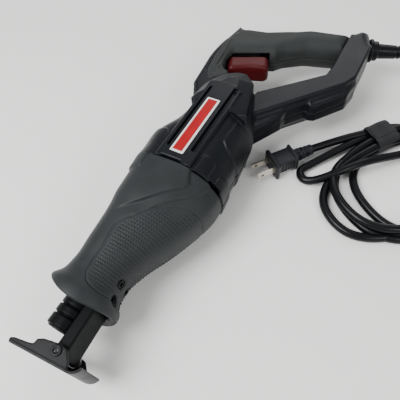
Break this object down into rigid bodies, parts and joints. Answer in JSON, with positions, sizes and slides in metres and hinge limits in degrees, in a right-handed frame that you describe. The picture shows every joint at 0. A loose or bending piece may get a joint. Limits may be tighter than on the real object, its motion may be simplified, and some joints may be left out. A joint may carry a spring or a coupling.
{
  "type": "corded reciprocating saw",
  "caption": "Corded reciprocating saw lying on its side: nose boot, pivoting shoe, tool-free blade clamp, crown-gear drive, D-handle with trigger, coiled mains lead.",
  "frame": {"origin": "centre of the saw's footprint, without the loose cord, at the height of the surface it lies on", "axes": "+X from the shoe to the back of the handle, +Y from the lower bar to the spine, +Z from the right side up to the left side"},
  "size_m": [0.4192, 0.2853, 0.074],
  "materials": {
    "boot_rubber": "matte moulded rubber with a knurled panel",
    "housing_plastic": "fine matte moulded nylon",
    "grip_rubber": "soft matte overmould",
    "trigger_plastic": "satin dark red",
    "label_plate": "satin red with a white border",
    "black_steel": "black oxide, worn to bare steel on the edges",
    "bare_steel": "bright ground steel",
    "gear_steel": "machined, lightly greased",
    "cast_case": "die cast",
    "bronze": "sintered, oil soaked",
    "copper": "enamelled copper",
    "lamination": "stacked electrical steel",
    "carbon": "pressed carbon",
    "inner_plastic": "moulded, unpainted",
    "seal_rubber": "nitrile",
    "cord_rubber": "satin black jacket",
    "wrap_fabric": "hook-and-loop tape with short pile",
    "plug_plastic": "moulded PVC",
    "prong_metal": "nickel-plated brass, partly worn"
  },
  "bodies": {
    "saw_body": {"housing_left": "housing_plastic", "housing_right": "housing_plastic", "grip_cover_left": "grip_rubber", "grip_cover_right": "grip_rubber", "housing_screws": "black_steel", "badge_left": "label_plate", "badge_right": "label_plate", "nose_boot": "boot_rubber", "gear_case": "cast_case", "gear_case_cover": "cast_case", "gear_case_screws": "gear_steel", "plunger_bush": "bronze", "plunger_seal": "seal_rubber", "gear_axle": "gear_steel", "front_bearing_outer": "gear_steel", "rear_bearing_outer": "gear_steel", "motor_stator": "lamination", "field_coils": "copper", "carbon_brushes": "carbon", "brush_holders": "bronze", "brush_springs": "gear_steel", "fan_baffle": "inner_plastic", "switch_body": "inner_plastic", "shoe_rivet": "bare_steel", "shoe_post": "black_steel", "post_spacers": "bare_steel", "shoe_post_screws": "black_steel", "cord_guard": "cord_rubber", "cord_inside": "cord_rubber", "cord_clamp": "inner_plastic", "cord_clamp_screws": "gear_steel", "cord_lead": "cord_rubber", "cord_coil": "cord_rubber", "cord_fold": "cord_rubber", "cord_tail": "cord_rubber", "cord_wrap": "wrap_fabric", "plug_body": "plug_plastic", "plug_prongs": "prong_metal"},
    "plunger": {"plunger": "gear_steel", "drive_roller": "gear_steel", "collar_spring": "bare_steel"},
    "collar": {"clamp_collar": "black_steel"},
    "lock_pin": {"blade_lock_pin": "gear_steel"},
    "shoe": {"shoe": "black_steel"},
    "armature": {"armature_shaft": "gear_steel", "armature_core": "lamination", "armature_windings": "copper", "commutator": "copper", "motor_fan": "inner_plastic", "front_bearing_inner": "gear_steel", "rear_bearing_inner": "gear_steel"},
    "crown_gear": {"crown_gear": "gear_steel", "crank_pin": "gear_steel", "gear_bush": "bronze"},
    "trigger": {"trigger": "trigger_plastic"}
  },
  "joints": [
    {"name": "plunger_stroke", "type": "slide", "parent": "saw_body", "child": "plunger", "axis": [1, 0, 0], "range_m": [-0.006, 0.02]},
    {"name": "collar_twist", "type": "hinge", "parent": "plunger", "child": "collar", "pos_m": [-0.17002, 0.04835, 0.037], "axis": [1, 0, 0], "range_deg": [0, 60], "stiffness_Nm_per_rad": 0.12, "springref_deg": -28.65},
    {"name": "lock_pin_lift", "type": "slide", "parent": "plunger", "child": "lock_pin", "axis": [0, 0, 1], "range_m": [0, 0.00185]},
    {"name": "shoe_pivot", "type": "hinge", "parent": "saw_body", "child": "shoe", "pos_m": [-0.19372, 0.03405, 0.037], "axis": [0, 0, 1], "range_deg": [-8, 28]},
    {"name": "armature_spin", "type": "hinge", "parent": "saw_body", "child": "armature", "pos_m": [0.00198, 0.03635, 0.037], "axis": [1, 0, 0], "continuous": true},
    {"name": "crown_gear_spin", "type": "hinge", "parent": "saw_body", "child": "crown_gear", "pos_m": [-0.08602, 0.03346, 0.037], "axis": [0, 1, 0], "continuous": true},
    {"name": "trigger_pull", "type": "slide", "parent": "saw_body", "child": "trigger", "axis": [0.9221, 0.387, 0], "range_m": [0, 0.007], "stiffness_N_per_m": 1100, "springref_m": -0.006}
  ],
  "couplings": [
    {"joint": "crown_gear_spin", "follows": "armature_spin", "ratio": 0.14286},
    {"joint": "lock_pin_lift", "follows": "collar_twist", "m_per_rad": 0.0017189}
  ]
}
